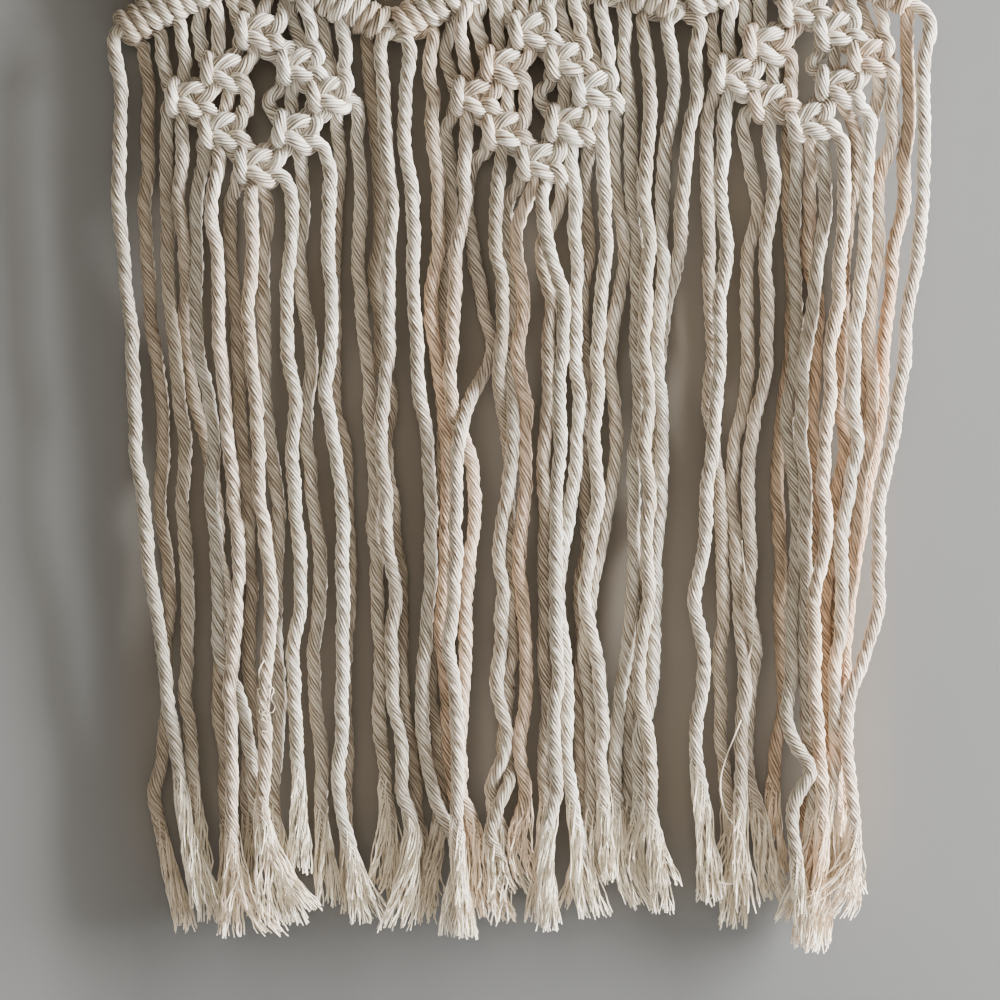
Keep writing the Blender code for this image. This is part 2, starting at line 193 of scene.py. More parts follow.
# Columns: cord, layer (0 is the front one), warmth, painted shade, steps across at each of the rows.
CORDS = (
    ("c0", 1, 0.05, 0.1, 118, 124, 128, 134, 136, 139, 144, 149, 154, 163, 167, 175, 178),
    ("c1", 3, 0.25, 0.55, 145, 148, 150, 155, 162, 163, 160, 166, 171, 168, 167, 162, 160),
    ("c2", 2, 0.1, 0.25, 166, 168, 171, 174, 178, 185, 183, 186, 190, 189, 188, 190, 193),
    ("c3", 3, 0.2, 0.45, 178, 185, 188, 188, 194, 208, 217, 222, 227, 224, 220, 223, 225),
    ("c4", 1, 0.05, 0, 196, 197, 197, 201, 210, 212, 210, 216, 219, 218, 240, 249, 254),
    ("c5", 0, 0.25, 0, 212, 216, 219, 219, 223, 230, 233, 236, 236, 234, 230, 231, 233),
    ("c6", 3, 0.2, 0.5, 231, 230, 235, 239, 240, 244, 248, 250, 250, 250, 253, 248, 244),
    ("c7", 0, 0.15, 0.05, 251, 251, 251, 252, 255, 259, 259, 267, 272, 268, 264, 263, 262),
    ("c8", 2, 0.1, 0.2, 266, 263, 264, 263, 266, 270, 277, 278, 275, 277, 277, 275, 272),
    ("c9", 1, 0.05, 0.05, 292, 290, 286, 287, 295, 291, 295, 301, 302, 295, 297, 297, 298),
    ("c10", 2, 0.1, 0.3, 304, 300, 303, 310, 307, 307, 314, 319, 319, 315, 315, 322, 322),
    ("c11", 1, 0.05, 0.05, 329, 329, 331, 327, 324, 336, 341, 343, 344, 339, 341, 342, 340),
    ("c12", 3, 0.2, 0.45, 337, 336, 335, 334, 333, 345, 347, 349, 350, 348, 346, 346, 346),
    ("c13", 2, 0.15, 0.3, 361, 359, 362, 367, 370, 373, 376, 376, 377, 379, 378, 381, 386),
    ("c14", 3, 0.15, 0.55, 380, 379, 378, 381, 389, 386, 393, 399, 402, 402, 404, 411, 415),
    ("c15", 1, 0.1, 0.1, 393, 389, 389, 386, 382, 380, 385, 387, 393, 392, 394, 401, 404),
    ("d0", 1, 0.1, 0.05, 413, 411, 413, 416, 421, 426, 430, 427, 429, 425, 423, 425, 433),
    ("d1", 1.6, 0.45, 0.05, 439, 439, 432, 436, 442, 445, 446, 444, 441, 443, 447, 450, 455),
    ("d2", 3, 0.15, 0.5, 451, 448, 444, 446, 446, 443, 440, 437, 436, 434, 434, 440, 441),
    ("d3", 1, 0.35, 0, 466, 456, 455, 453, 453, 467, 477, 471, 466, 466, 462, 461, 459),
    ("d4", 0, 0.15, 0.05, 467, 472, 481, 492, 467, 456, 454, 454, 452, 450, 455, 456, 456),
    ("d5", 2, 0.1, 0.22, 497, 499, 502, 500, 502, 508, 509, 510, 511, 512, 509, 506, 506),
    ("d6", 1, 0.1, 0.2, 508, 508, 514, 507, 515, 513, 508, 500, 500, 499, 500, 505, 491),
    ("d7", 1, 0.4, 0, 527, 516, 525, 517, 525, 526, 522, 521, 521, 524, 524, 521, 522),
    ("d8", 0, 0.05, 0.06, 541, 549, 562, 562, 558, 558, 558, 554, 556, 557, 556, 555, 557),
    ("d9", 1.6, 0.2, 0.3, 561, 541, 549, 546, 547, 544, 544, 542, 545, 546, 546, 545, 545),
    ("d10", 1, 0.05, 0.15, 576, 576, 575, 575, 579, 577, 570, 566, 560, 566, 568, 566, 571),
    ("d11", 3, 0.2, 0.35, 585, 591, 585, 584, 585, 584, 584, 584, 582, 582, 579, 582, 584),
    ("d12", 1, 0.1, 0.2, 605, 607, 601, 598, 597, 594, 597, 591, 582, 593, 602, 604, 605),
    ("d13", 2, 0.1, 0.35, 617, 626, 616, 610, 612, 614, 608, 599, 591, 585, 590, 592, 593),
    ("d14", 2, 0.05, 0.2, 632, 636, 638, 638, 639, 635, 634, 634, 632, 627, 620, 616, 616),
    ("d15", 1, 0.1, 0.15, 644, 649, 642, 642, 649, 648, 647, 649, 649, 641, 641, 650, 652),
    ("d16", 2, 0.05, 0.1, 662, 662, 660, 658, 662, 663, 660, 656, 658, 653, 649, 636, 638),
    ("e0", 3, 0.1, 0.25, 682, 679, 668, 660, 655, 653, 652, 648, 644, 638, 630, 628, 627),
    ("e1", 2.6, 0.2, 0.35, 708, 710, 710, 712, 711, 716, 720, 723, 725, 721, 721, 722, 725),
    ("e2", 1, 0.1, 0.1, 721, 726, 720, 718, 715, 714, 707, 703, 694, 702, 699, 694, 700),
    ("e3", 1.4, 0.15, 0.25, 757, 747, 746, 746, 743, 733, 730, 737, 738, 744, 745, 742, 740),
    ("e4", 2, 0.15, 0.1, 772, 765, 766, 766, 761, 747, 747, 751, 749, 753, 748, 745, 751),
    ("e5", 2, 0.05, 0.1, 795, 795, 795, 795, 791, 789, 795, 798, 792, 792, 789, 796, 802),
    ("e6", 3, 0.6, 0.35, 788, 790, 792, 790, 787, 779, 778, 779, 780, 781, 783, 776, 772),
    ("e7", 3, 0.6, 0.2, 809, 806, 814, 815, 813, 811, 813, 812, 812, 811, 810, 808, 806),
    ("e8", 1, 0.1, 0.05, 824, 819, 815, 807, 805, 803, 804, 803, 804, 805, 806, 811, 812),
    ("e9", 0, 0.3, 0, 844, 842, 838, 830, 830, 821, 827, 826, 815, 815, 816, 817, 821),
    ("e10", 2.2, 0.55, 0.15, 851, 845, 842, 840, 839, 845, 836, 831, 826, 828, 826, 823, 823),
    ("e11", 1, 0.1, 0, 866, 864, 856, 855, 855, 855, 845, 841, 842, 835, 836, 835, 831),
    ("e12", 3, 0.45, 0.15, 870, 868, 864, 863, 862, 861, 852, 843, 836, 833, 831, 829, 829),
    ("e13", 2, 0.4, 0.05, 877, 879, 872, 870, 870, 866, 858, 854, 848, 843, 840, 838, 836),
    ("e14", 3, 0.65, 0.05, 904, 893, 889, 885, 879, 873, 864, 856, 850, 845, 842, 840, 842),
    ("e15", 1, 0.25, 0, 922, 918, 909, 903, 895, 891, 882, 879, 878, 867, 848, 846, 851),
)

# Cords that change layer on their way down. Columns: cord, then (row, layer) pairs.
LAYER_CHANGES = {
    "c3": ((200, 0.9), (260, 1.2), (340, 3), (620, 3), (670, 0.4), (720, 2.6), (790, 3)),
    "c4": ((600, 1), (670, 1.6), (720, 1.2)),
    "d4": ((200, 3), (350, 3), (400, 1.6), (440, 0)),
    "d5": ((200, 0.6), (350, 0.4), (420, 2), (740, 1.6), (790, 0.5)),
    "d6": ((200, 2), (340, 2), (420, 0.9), (770, 0.9), (812, 1.8)),
    "e0": ((200, 1), (270, 3)),
    "e3": ((200, 2.6), (430, 2.6), (640, 2), (720, 0.8)),
    "e5": ((200, 2.4), (500, 1.6), (700, 0.6), (750, -0.4), (840, 0)),
    "e15": ((200, 1), (700, 0.8), (840, -0.2)),
}

# Places above the first knot, or down to the first row for a cord in no knot.
# Columns: steps across, steps down, layer.
ABOVE = {
    "c0": ((113.6, 43, 1.3), (115, 57, 1.2), (120.7, 86, 1), (121, 114, 1), (119.6, 143, 1), (118.6, 171, 1)),
    "c1": ((142.9, 43, 2.6), (144, 57, 3), (149, 86, 3), (148, 114, 3), (148, 143, 3), (149, 171, 3)),
    "c2": ((160, 33, 1.6), (162, 57, 1.5)),
    "c3": ((180, 29, 1), (181, 43, 1), (185, 60, 1.2)),
    "c4": ((200, 3, 1.8), (198, 29, 1.6)),
    "c5": ((213.6, 3, 1.5), (219, 29, 1.2)),
    "c6": ((229, -6, 1.8),),
    "c10": ((290.7, 12, 2.7), (294, 26, 2.7)),
    "c11": ((305, -4, 1.2), (311.7, 26, 0.9)),
    "c12": ((318.6, 0, 2.7), (323.6, 29, 2.7), (327, 55, 2.4)),
    "c13": ((345.7, 5, 1.5), (343.6, 29, 1.3), (346.4, 55, 1.1)),
    "c14": ((367.9, 25, 2.9), (368, 57, 3), (370, 86, 3), (373.9, 114, 3), (376.8, 143, 3), (378.6, 171, 3)),
    "c15": ((382.5, 38, 1.1), (380.7, 57, 1), (382.9, 86, 1), (385, 114, 1), (386, 143, 1), (388, 171, 1)),
    "d0": ((405.5, 38, 1), (409.3, 57, 1), (406, 86, 1), (405, 114, 1), (404, 143, 1), (408.9, 171, 1)),
    "d1": ((431.7, 29, 1.4), (429.6, 57, 1.2), (429, 79, 1.2), (434, 97, 1.2), (431.7, 114, 1.2),
           (432.9, 143, 1.2), (437.4, 171, 1.4)),
    "d2": ((449, 0, 2.2), (450.7, 29, 2.2), (444.5, 55, 2)),
    "d3": ((465.7, -4, 1.3), (459.5, 26, 1), (464.5, 56, 1.2)),
    "d4": ((479.6, -6, 1.7), (475.5, 22, 1.6)),
    "d5": ((492.9, -6, 1.4), (497, 22, 1.3)),
    "d6": ((504.3, -8, 1.7),),
    "d10": ((559, -2, 2.4), (562, 21, 2.4)),
    "d11": ((573.9, 0, 1.4), (580, 24, 1.1)),
    "d12": ((584, 0, 2.6), (587, 29, 2.6), (590.5, 50, 2.4)),
    "d13": ((601.7, 0, 1.5), (605, 29, 1.4), (609, 55, 1.1)),
    "d14": ((625, 0, 1.5), (625.3, 29, 1.5), (623.9, 57, 1.5), (627.9, 86, 1.6), (630.7, 114, 1.7),
            (631, 143, 1.8), (631, 171, 2)),
    "d15": ((643.6, 12, 1.7), (643, 29, 1.5), (646.7, 57, 1.2), (649.3, 86, 1.1), (649.6, 114, 1),
            (647.4, 143, 1), (645.7, 171, 1)),
    "d16": ((667, 21, 1.2), (670, 43, 1), (674, 71, 1), (674.6, 86, 1), (672.4, 100, 1.1),
            (670, 121, 1.2), (665.7, 143, 1.4), (663.6, 171, 1.7)),
    "e0": ((699.3, 24, 1.1), (695.3, 50, 0.9), (695.7, 71, 0.8), (696.7, 100, 0.8), (692.4, 114, 0.8),
           (688.6, 129, 0.8), (686.4, 157, 0.8), (684.6, 179, 0.9)),
    "e1": ((713, 8, 2.6), (710, 32, 2.2)),
    "e2": ((727, -2, 1.3), (728, 29, 1.2)),
    "e3": ((741, -4, 1.9),),
    "e4": ((758, -6, 1.6),),
    "e6": ((786, -20, 3.4), (787, 20, 3.6), (788, 60, 3.6), (788, 110, 3.5), (789, 150, 3.3)),
    "e11": ((852, -12, 1.4),),
    "e12": ((857, -4, 2.8), (863.6, 16, 2.6)),
    "e13": ((881, 0, 1.6), (884, 20, 1.4)),
    "e14": ((907, 16, 1.8), (907, 57, 2), (909, 100, 2), (908.6, 129, 2), (904, 157, 2), (904, 171, 2.3)),
    "e15": ((929.4, 20, 1), (930, 31, 1), (924, 57, 1), (923, 86, 1), (924, 114, 1), (924, 143, 1),
            (923, 171, 1)),
}

# Places between the last knot and the first row. Columns: steps across, steps down, layer.
BELOW = {
    "c2": ((167, 128, 2), (166, 165, 2)),
    "c3": ((181.4, 128, 1), (182.4, 157, 0.9), (180, 178, 0.9)),
    "c5": ((218.6, 162, 0.6),),
    "c9": ((283, 177, 1), (289, 188, 1)),
    "c11": ((322, 145, 1.1), (325.7, 157, 1.1), (330.7, 171, 1)),
    "c12": ((337, 128, 2.6), (340, 150, 3), (339, 175, 3)),
    "c13": ((355, 102, 1.5), (358, 114, 1.6), (357, 143, 1.9), (360.7, 171, 2)),
    "d2": ((446, 129, 2.6), (451, 171, 3)),
    "d3": ((466.4, 129, 1.2), (465, 157, 1), (463.6, 182, 1)),
    "d4": ((476, 160, 2.6),),
    "d10": ((571, 160, 1.3),),
    "d11": ((588, 146, 2), (585.7, 171, 2.6)),
    "d12": ((600.7, 129, 1.2), (602.9, 157, 1.1), (603.6, 182, 1)),
    "d13": ((615.5, 114, 2), (614, 143, 2.2), (613.6, 171, 2.2)),
    "e1": ((709, 110, 2.2), (706.4, 129, 2.6), (706.7, 157, 2.6), (707, 182, 2.6)),
    "e2": ((725, 108, 1.3), (723.6, 129, 1.1), (723.4, 152, 1), (720, 176, 1)),
    "e3": ((746, 113, 2.2), (742.5, 132, 2.4), (746, 146, 2.6), (751, 171, 2.6), (754, 186, 2.6)),
    "e4": ((768.6, 143, 1.4), (771, 157, 1.4), (774.5, 176, 1.7)),
    "e9": ((842, 143, 0.8), (843.5, 165, 0.5)),
    "e10": ((850, 118, 2.8), (857, 140, 2.7), (857, 165, 2.6), (855, 185, 2.5)),
    "e11": ((870, 118, 1.2), (868.6, 143, 1), (868, 165, 1)),
    "e12": ((878.6, 97, 2.8), (873, 116, 3), (869, 145, 3), (869, 175, 3)),
    "e13": ((893, 94, 1.6), (891, 114, 1.7), (893.6, 134, 1.8), (889, 151, 1.9), (882, 166, 2),
            (878, 182, 2)),
}

# Places below the last row, before the cord frays. Columns: steps across, steps down.
TAILS = {
    "c0": ((180, 803),),
    "c1": ((160, 825), (163, 852)),
    "c2": ((196, 815),),
    "c3": ((226, 840),),
    "c4": ((259, 815), (264, 832), (272, 850)),
    "c5": ((231, 825), (231, 862)),
    "c6": ((245, 840),),
    "c7": ((264, 830),),
    "c8": ((275, 815), (277, 832)),
    "c9": ((298, 797),),
    "c10": ((323, 815), (324, 834)),
    "c11": ((343, 815), (348, 840), (352, 860)),
    "c12": ((347, 835),),
    "c13": ((390, 812),),
    "c14": ((418, 820), (421, 850)),
    "c15": ((410, 806), (414, 820), (411, 842)),
    "d0": ((441, 813), (449, 830), (454, 856)),
    "d1": ((459, 815), (464, 850)),
    "d2": ((437, 830),),
    "d3": ((463, 805), (470, 822), (480, 846)),
    "d4": ((457, 825), (460, 850)),
    "d5": ((497, 818), (493, 836), (497, 850), (502, 860)),
    "d6": ((494, 812), (500, 822)),
    "d7": ((523, 797), (520, 812), (514, 824)),
    "d8": ((554, 812), (550, 838)),
    "d9": ((544, 820),),
    "d10": ((573, 812), (578, 834)),
    "d11": ((583, 815),),
    "d12": ((606, 818),),
    "d13": ((593, 806), (590, 822), (590, 836)),
    "d14": ((617, 803), (614, 828)),
    "d15": ((652, 812), (656, 840)),
    "d16": ((637, 805), (634, 822)),
    "e0": ((628, 830),),
    "e1": ((727, 806), (732, 822), (734, 842)),
    "e2": ((702, 795),),
    "e3": ((741, 812),),
    "e4": ((756, 804), (760, 818)),
    "e5": ((796, 800), (793, 815), (793, 836), (796, 860), (799, 884)),
    "e6": ((771, 805),),
    "e7": ((808, 830), (807, 866)),
    "e8": ((813, 840),),
    "e9": ((821, 815), (823, 842)),
    "e10": ((825, 840),),
    "e11": ((832, 815),),
    "e12": ((830, 835),),
    "e13": ((838, 825),),
    "e14": ((843, 820),),
    "e15": ((853, 805), (854, 822), (856, 850)),
}

# Short bends that lie between two rows: place across and down.
BENDS = {
    "d5": ((760, 508), (780, 510)),
    "d6": ((735, 507), (758, 504), (778, 494)),
    "e5": ((735, 790), (752, 797), (764, 807), (775, 811), (786, 804)),
}

# Single yarns that have come loose. Columns: cord, layer, then places across and down.
LOOSE_YARNS = (
    ("c7", -0.5, ((264, 660), (259, 672), (261, 680), (268, 681), (271, 687), (265, 690), (258, 688),
                  (259, 697), (268, 697), (270, 703), (262, 705), (259, 713), (268, 716))),
    ("c7", -0.6, ((268, 684), (274, 690), (271, 698), (275, 706), (272, 713), (264, 711), (261, 719),
                  (271, 724), (272, 732), (262, 731))),
    ("e3", 0.1, ((741, 720), (734, 738), (726, 758), (721, 777), (721, 795), (727, 815), (736, 827),
                 (742, 837), (744, 852), (743, 867), (740, 877), (731, 884), (717, 882))),
    ("e3", 1.4, ((742, 540), (744, 565), (750, 590), (753, 612), (753, 640), (748, 662))),
)

# Warm patches: place across and down, half width and half height in steps, strength.
GLOWS = (
    (904, 100, 7, 90, 0.35), (880, 172, 8, 22, 0.6), (775, 792, 10, 22, 0.9), (808, 865, 9, 25, 0.6),
    (826, 750, 12, 18, 0.7), (824, 850, 18, 45, 0.35), (828, 622, 9, 45, 0.5), (839, 672, 7, 30, 0.5),
    (854, 556, 7, 20, 0.6), (486, 84, 26, 40, 0.22), (262, 260, 14, 90, 0.12), (516, 600, 8, 60, 0.15),
)

# The frayed tufts. Columns: cord, steps across and down of the tips' middle, half width in steps,
# scatter of the tips' height in steps, number of yarns, sideways slope at the tips.
TUFTS = (
    ("c0", 208, 903, 15, 13, 22, 0.3),
    ("c1", 183, 926, 9, 14, 20, 0.1),
    ("c2", 207, 918, 9, 8, 16, 0),
    ("c3", 224, 920, 8, 8, 14, 0),
    ("c4", 299, 920, 8, 8, 14, 0.5),
    ("c4", 284, 922, 8, 6, 8, 0.3),
    ("c5", 232, 933, 12, 5, 12, 0),
    ("c5", 274, 931, 13, 6, 12, 0.9),
    ("c6", 250, 912, 8, 8, 14, 0),
    ("c7", 311, 905, 9, 8, 12, 0.8),
    ("c7", 270, 920, 9, 8, 8, 0.2),
    ("c8", 285, 882, 7, 10, 16, 0.1),
    ("c9", 299, 870, 11, 8, 20, 0),
    ("c10", 328, 903, 13, 8, 22, 0),
    ("c11", 361, 922, 7, 4, 11, 0.2),
    ("c11", 381, 916, 8, 8, 12, 0.6),
    ("c12", 350, 912, 8, 8, 14, 0),
    ("c13", 377, 890, 15, 12, 18, -0.4),
    ("c13", 398, 912, 10, 8, 10, 0.1),
    ("c14", 434, 893, 7, 8, 12, 0.3),
    ("c14", 425, 922, 7, 7, 10, 0),
    ("c15", 395, 924, 16, 12, 24, -0.4),
    ("d0", 457, 932, 16, 7, 28, 0.1),
    ("d1", 474, 904, 7, 4, 16, 0),
    ("d2", 427, 912, 8, 10, 16, 0),
    ("d3", 498, 914, 16, 14, 26, 0.5),
    ("d4", 468, 934, 7, 6, 16, 0.1),
    ("d5", 506, 885, 8, 12, 6, 0.8),
    ("d5", 499, 920, 9, 8, 8, -0.2),
    ("d6", 522, 888, 10, 10, 14, 0.7),
    ("d7", 527, 878, 11, 10, 18, 0.6),
    ("d8", 549, 925, 10, 10, 22, 0),
    ("d9", 533, 918, 9, 8, 16, -0.1),
    ("d10", 593, 914, 14, 8, 26, 0.4),
    ("d11", 570, 905, 9, 10, 18, -0.3),
    ("d12", 609, 878, 5, 6, 14, 0.1),
    ("d13", 602, 882, 7, 6, 20, 0.4),
    ("d14", 643, 906, 14, 7, 26, 0.6),
    ("d15", 661, 910, 8, 6, 14, 0.1),
    ("d15", 672, 884, 7, 8, 10, 0.4),
    ("d16", 635, 860, 6, 7, 18, 0),
    ("e0", 645, 890, 6, 10, 14, 0.2),
    ("e1", 734, 925, 12, 10, 20, 0),
    ("e1", 705, 897, 10, 10, 6, -0.7),
    ("e2", 712, 898, 12, 14, 22, 0.2),
    ("e3", 745, 905, 10, 12, 14, 0.1),
    ("e4", 776, 898, 14, 8, 24, 0.4),
    ("e5", 806, 942, 10, 8, 18, 0.1),
    ("e6", 780, 872, 7, 12, 18, 0.1),
    ("e7", 802, 944, 8, 7, 16, -0.1),
    ("e8", 783, 918, 9, 8, 16, -0.5),
    ("e9", 812, 948, 9, 7, 18, -0.1),
    ("e10", 822, 944, 8, 8, 16, 0),
    ("e11", 838, 885, 11, 14, 20, 0.1),
    ("e12", 828, 893, 8, 8, 14, 0),
    ("e13", 848, 900, 9, 10, 16, 0),
    ("e14", 842, 880, 10, 8, 16, 0.1),
    ("e15", 803, 900, 9, 7, 14, -1.6),
    ("e15", 838, 912, 14, 10, 16, -0.6),
    ("e15", 857, 890, 7, 10, 6, 0.3),
)

# Colours of the cotton, with painted shade for cords further back, the creases between yarns and the ply
# grooves
DULL_CREAM = (0.60, 0.552, 0.45, 1)
BRIGHT_CREAM = (0.93, 0.892, 0.79, 1)
MOTTLE = (0.88, 0.77, 0.62, 1)
PEACH = (0.95, 0.58, 0.35, 1)
PAINTED_SHADE_COLOUR = (0.46, 0.38, 0.28, 1)
LOOSE = (0.89, 0.79, 0.60, 1)
STREAK = (0.30, 0.215, 0.14, 1)
PAINTED_CREASE_COLOUR = (0.125, 0.100, 0.070, 1)
PAINTED_GROOVE_COLOUR = (0.17, 0.115, 0.07, 1)
BUMP_DEPTH = 0.00026        # in metres
WARM_ROWS = (300, 180)      # the cords' warmth fades between these rows of steps, going up
WARM_SHARES = (1.0, 0.45)
# Going up between these rows, knotted cords lose painted shade and gain a painted highlight
KNOT_ROWS = (215, 165)      # knotted cords grow less dark and brighter between these
KNOT_SHADE_CUT = 0.8
KNOT_PAINTED_HIGHLIGHT = 0.35
# Painted shade added for each layer behind the first shaded one
LAYER_PAINTED_SHADE = 0.12       # for each layer behind this one
FIRST_SHADED_LAYER = 1.2

# The stage, in metres and watts
FLOOR_Z = -0.36
FLOOR_REACH = 2
FLOOR_COLOUR = (0.55, 0.545, 0.535, 1)
BACK_Y = 0.0112
BACK_TOP = 0.3
BACK_REACH = 0.6
BACK_COLUMNS = 161
BACK_ROWS = 89
BACK_COLOUR = (0.130, 0.1305, 0.1275)
# A warm painted shadow on the wall behind the hanging
PAINTED_WALL_SHADOW = (0.198, 0.172, 0.137)
MIDDLE = (0.0, 0.0, -0.15)
# Columns: name, place, what it points at, width and height, power, colour.
LIGHTS = (
    ("key", (0.865, -0.265, 0.03), MIDDLE, (0.35, 0.9), 64.0, (0.96, 0.975, 1.0)),
    ("fill", (-0.12, -1.3, 0.05), MIDDLE, (0.7, 0.7), 5.6, (1.0, 0.91, 0.78)),
    ("low", (0.3, -1.0, -0.7), (0.0, 0.0, -0.27), (0.5, 0.5), 2.6, (1.0, 0.95, 0.88)),
)
WORLD_COLOUR = (1.0, 0.85, 0.66, 1)
WORLD_STRENGTH = 0.11
SENSOR = 36.0


def across(step):
    return (step - MIDDLE_STEP) * STEP


def down(step):
    return (TOP_STEP - step) * STEP


def depth(layer):
    return (layer - MIDDLE_LAYER) * LAYER_PITCH


def place(x, row, layer):
    """A place read off in steps across, steps down and layers, in millimetres."""
    return across(x), depth(layer), down(row)


def unit(vector):
    return vector / np.linalg.norm(vector)


def heading_order():
    """Cords from left to right in the heading: a leader starts at its peak."""
    order = []
    for repeat, last in (("c", 15), ("d", 16), ("e", 15)):
        order += [repeat + str(n) for n in range(1, 8)]
        order += [repeat + "0", repeat + str(last)]
        order += [repeat + str(n) for n in range(8, last)]
    return order


def heading_path(name, order):
    """A cord's turn round the holding cord, from the bight that joins it to its neighbour."""
    index = order.index(name)
    x = HEADING_LEFT + (HEADING_RIGHT - HEADING_LEFT) * index / (len(order) - 1)
    towards = 1.0 if index % 2 == 0 and index < len(order) - 1 else -1.0
    half = 0.5 * (HEADING_RIGHT - HEADING_LEFT) / (len(order) - 1) - BIGHT_GAP
    points = [(x + towards * share * half, y, HEADING_Z + z) for share, y, z in BIGHT]
    for angle in range(0, 211, 30):
        a = math.radians(angle)
        points.append((x, -HEADING_WRAP * math.cos(a), HEADING_Z + HEADING_WRAP * math.sin(a)))
    return points + [(x, y, HEADING_Z + z) for y, z in HEADING_LEAVING]


def bar_paths():
    """Each cord's way round its bar, and each leader's way along it."""
    paths = {}
    front = np.array((0.0, -1.0, 0.0))
    for index, (repeat, leader, first, last, twice) in enumerate(BARS):
        corners = ZIGZAG[index:index + 2] if index % 2 == 0 else ZIGZAG[index + 1:index - 1:-1]
        low, peak = (np.array((x, 0.0, z)) for x, z in corners)
        length = np.linalg.norm(peak - low)
        axis = (peak - low) / length
        normal = np.array((-axis[2], 0.0, axis[0]))
        if normal[2] < 0:
            normal = -normal
        numbers = range(first, last + 1) if first < last else range(first, last - 1, -1)
        room = length - BAR_FOOT - BAR_HEAD - 2 * twice * VISIBLE_PITCH
        single = room / (len(numbers) - twice)
        along = BAR_FOOT
        for hitch, number in enumerate(numbers):
            turns, pitch = (2, VISIBLE_PITCH) if hitch < twice else (1, single)
            first_ridge = along + pitch / 2 + pitch * (turns - 1)
            advance = min(pitch, VISIBLE_PITCH)
            points = []
            for angle in np.arange(BAR_ANGLES[0], BAR_ANGLES[1] - 360.0 * (turns - 1), BAR_STEP):
                a = math.radians(angle)
                ridge = first_ridge - advance * (90.0 - angle) / 360.0
                points.append(low + axis * ridge + BAR_WRAP * (normal * math.cos(a) + front * math.sin(a)))
            paths[repeat + str(number)] = points
            along += pitch * turns
        outwards = math.copysign(0.4, low[0] - peak[0])
        way = [peak + axis * share for share in (-1.5, -0.35 * length, -0.65 * length)]
        paths[repeat + str(leader)] = way + [low + axis * 2.5, low + np.array((outwards, 0.0, -0.8))]
    return paths


def knot_paths():
    """Each cord's way through its square knots, from the top down."""
    paths = {}
    for repeat, first, x, z, lean, entry in KNOTS:
        numbers = [n for n in range(first, first + 5) if repeat + str(n) != UNKNOTTED]
        coming = ((entry, 1.35, 0.1), (0.5 * entry + 0.68, 0.72, 0.5), (0.15 * entry + 1.2, 0.15, 0.65))
        c, s = math.cos(math.radians(lean)), math.sin(math.radians(lean))
        for number, way in zip(numbers, (LEFT_TYING, *CORES, coming + RIGHT_TYING)):
            points = [(x + (u * c - v * s) * CORD, -f * CORD * KNOT_DEPTH, z + (u * s + v * c) * CORD)
                      for u, v, f in way]
            paths.setdefault(repeat + str(number), []).append(points)
    return paths


def as_seen(curve):
    """Narrow what lies nearer to the camera, so that every place shows where it was read off."""
    scale = 1.0 + curve[:, 1:2] / CAMERA_DISTANCE
    middle = np.array((across(VIEW_STEPS / 2), 0.0, down(VIEW_STEPS / 2)))
    return np.where((True, False, True), middle + (curve - middle) * scale, curve)


def cord_layer(name, layer, row):
    """The layer of a cord at a row of steps."""
    if name not in LAYER_CHANGES:
        return layer
    rows, layers = zip(*LAYER_CHANGES[name])
    return float(np.interp(row, rows, layers))


def blend(t, start, end, first, second):
    """From the first value at the start to the second at the end."""
    return (end - t) / (end - start) * first + (t - start) / (end - start) * second


def smooth_curve(points, density=0.5):
    """A centripetal Catmull-Rom curve through the points, in short straight pieces."""
    apart = [q for a, q in zip(points, points[1:]) if np.linalg.norm(np.subtract(q, a)) > SAME_PLACE]
    p = np.array([points[0]] + apart)
    p = np.vstack((2 * p[0] - p[1], p, 2 * p[-1] - p[-2]))
    knots = np.concatenate(((0.0,), np.cumsum(np.sqrt(np.linalg.norm(np.diff(p, axis=0), axis=1)))))
    pieces = []
    for i in range(1, len(p) - 2):
        t0, t1, t2, t3 = knots[i - 1:i + 3]
        count = max(2, int(np.linalg.norm(p[i + 1] - p[i]) / density))
        t = np.linspace(t1, t2, count, endpoint=False)[:, None]
        a1 = blend(t, t0, t1, p[i - 1], p[i])
        a2 = blend(t, t1, t2, p[i], p[i + 1])
        a3 = blend(t, t2, t3, p[i + 1], p[i + 2])
        pieces.append(blend(t, t1, t2, blend(t, t0, t2, a1, a2), blend(t, t1, t3, a2, a3)))
    pieces.append(p[-2:-1])
    return np.vstack(pieces)


def lengths_along(points):
    """The length of the way from the first point to each point."""
    return np.concatenate(((0.0,), np.cumsum(np.linalg.norm(np.diff(points, axis=0), axis=1))))


def points_at(curve, lengths, places):
    """Points at some places along a curve, whose own points lie at these lengths."""
    return np.stack([np.interp(places, lengths, curve[:, k]) for k in range(3)], axis=1)


def evenly_spaced(curve):
    """The curve with a point at about every millimetre."""
    lengths = lengths_along(curve)
    count = max(3, int(round(lengths[-1])) + 1)
    return points_at(curve, lengths, np.linspace(0.0, lengths[-1], count))


def soften(values, passes):
    """Average each row with its neighbours, keeping both ends."""
    for _ in range(passes):
        values[1:-1] = 0.25 * values[:-2] + 0.5 * values[1:-1] + 0.25 * values[2:]
    return values


def sway(curve, chance):
    """Small kinks sideways and in depth where the cord hangs free."""
    lengths = np.arange(len(curve)) * 1.0
    free = np.clip((KNOTS_FOOT - curve[:, 2]) / 12.0, 0.15, 1.0)
    for axis, size in SWAYS:
        for pitch, part in SWAY_PITCHES:
            marks = np.arange(-pitch, lengths[-1] + 3 * pitch, pitch)
            values = chance.normal(0, size * part, len(marks))
            spot = (lengths + pitch) / pitch
            low = spot.astype(int)
            share = 0.5 - 0.5 * np.cos(math.pi * (spot - low))
            curve[:, axis] += free * (values[low] * (1 - share) + values[low + 1] * share)
    return curve


